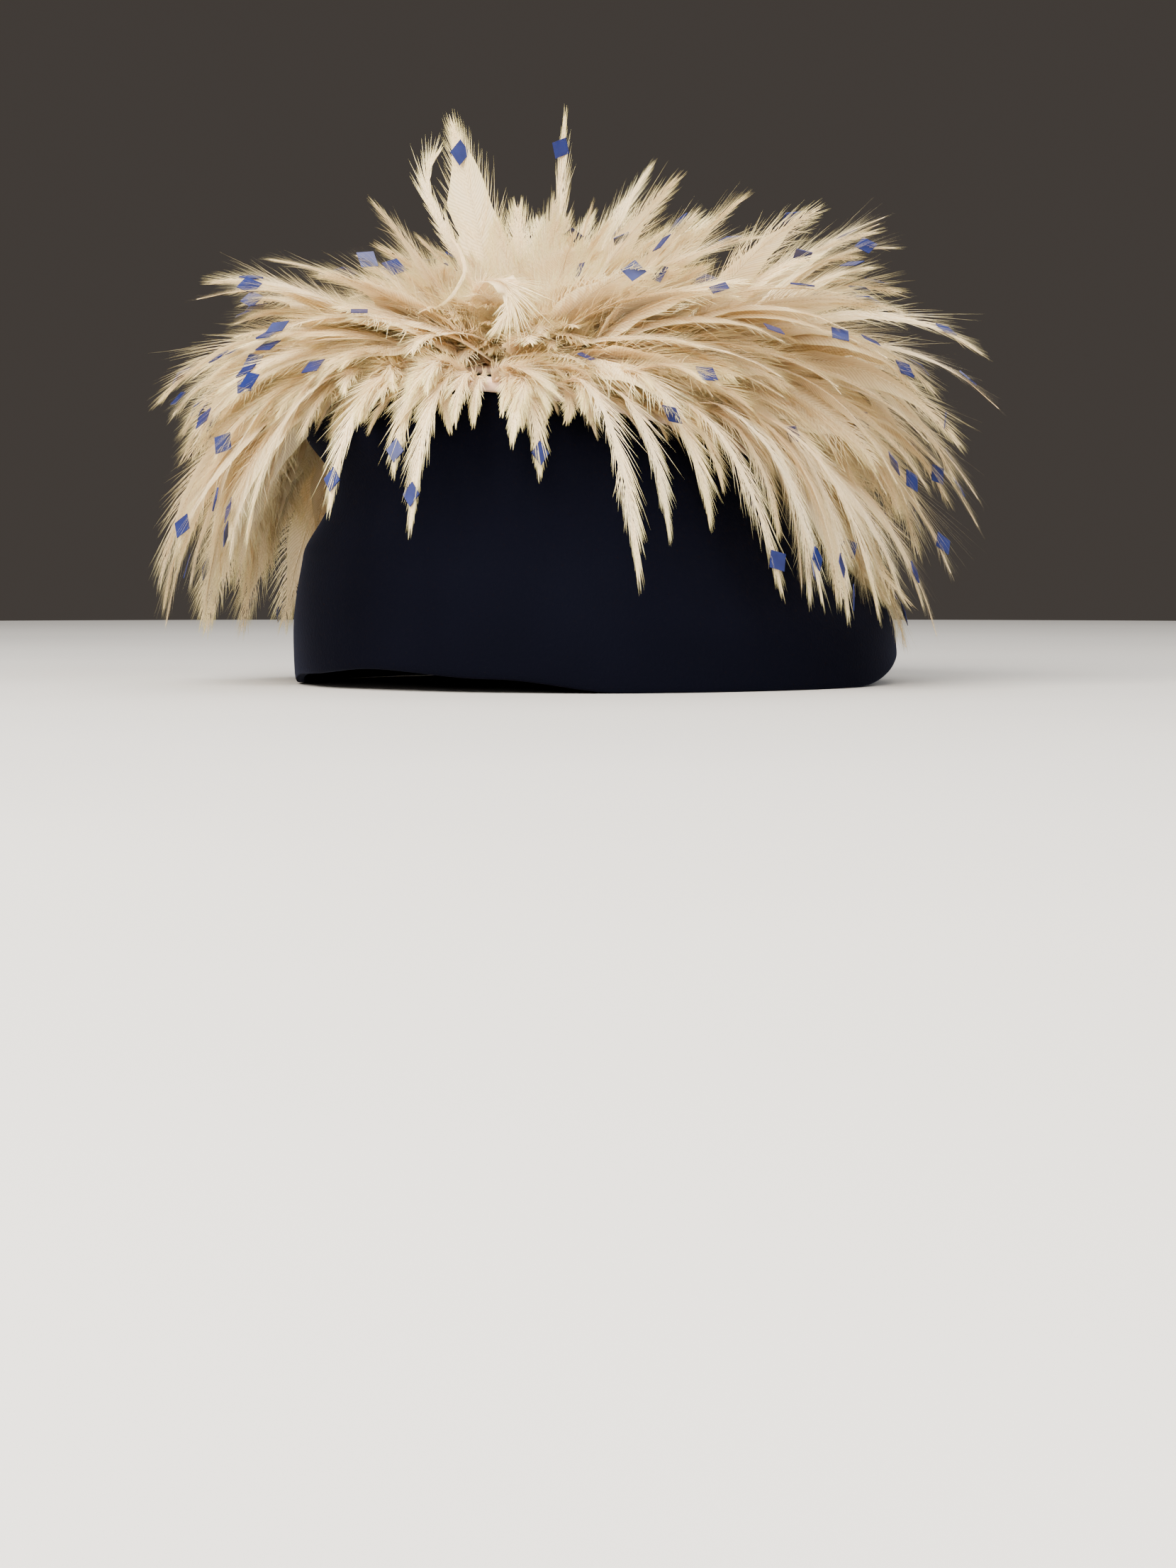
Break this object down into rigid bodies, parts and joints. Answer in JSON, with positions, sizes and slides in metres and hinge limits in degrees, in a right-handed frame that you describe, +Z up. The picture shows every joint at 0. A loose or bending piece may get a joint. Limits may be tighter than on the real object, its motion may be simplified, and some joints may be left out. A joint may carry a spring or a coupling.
{
  "type": "cocktail hat",
  "caption": "Velvet toque with a hollow crown, a pressed groove under its front roll, and a full wreath of cream hackle feathers with blue rhombic chips near the tips.",
  "frame": {"origin": "middle of the hat's outline, on the plane that its rim rests on", "axes": "+Z up through the crown, -Y towards the front of the hat, +X towards the wearer's left"},
  "size_m": [0.31, 0.3302, 0.2199],
  "materials": {
    "velvet": "dark navy velvet pile",
    "feather": "cream hackle feathers",
    "chip": "thin blue film, satin"
  },
  "bodies": {
    "root": {"toque_shell": "velvet", "fringe_band": "feather", "wreath_band": "feather", "crest_plumes": "feather", "chip_000": "chip", "chip_002": "chip", "chip_003": "chip", "chip_004": "chip", "chip_005": "chip", "chip_009": "chip", "chip_011": "chip", "chip_013": "chip", "chip_014": "chip", "chip_021": "chip", "chip_026": "chip", "chip_031": "chip", "chip_033": "chip", "chip_035": "chip", "chip_037": "chip", "chip_040": "chip", "chip_042": "chip", "chip_045": "chip", "chip_058": "chip", "chip_060": "chip", "chip_067": "chip", "chip_070": "chip", "chip_072": "chip", "chip_073": "chip", "chip_074": "chip", "chip_075": "chip", "chip_076": "chip", "chip_077": "chip", "chip_078": "chip", "chip_080": "chip", "chip_081": "chip", "chip_084": "chip", "chip_087": "chip", "chip_088": "chip", "chip_089": "chip", "chip_095": "chip", "chip_097": "chip", "chip_100": "chip", "chip_102": "chip", "chip_104": "chip"}
  },
  "joints": []
}
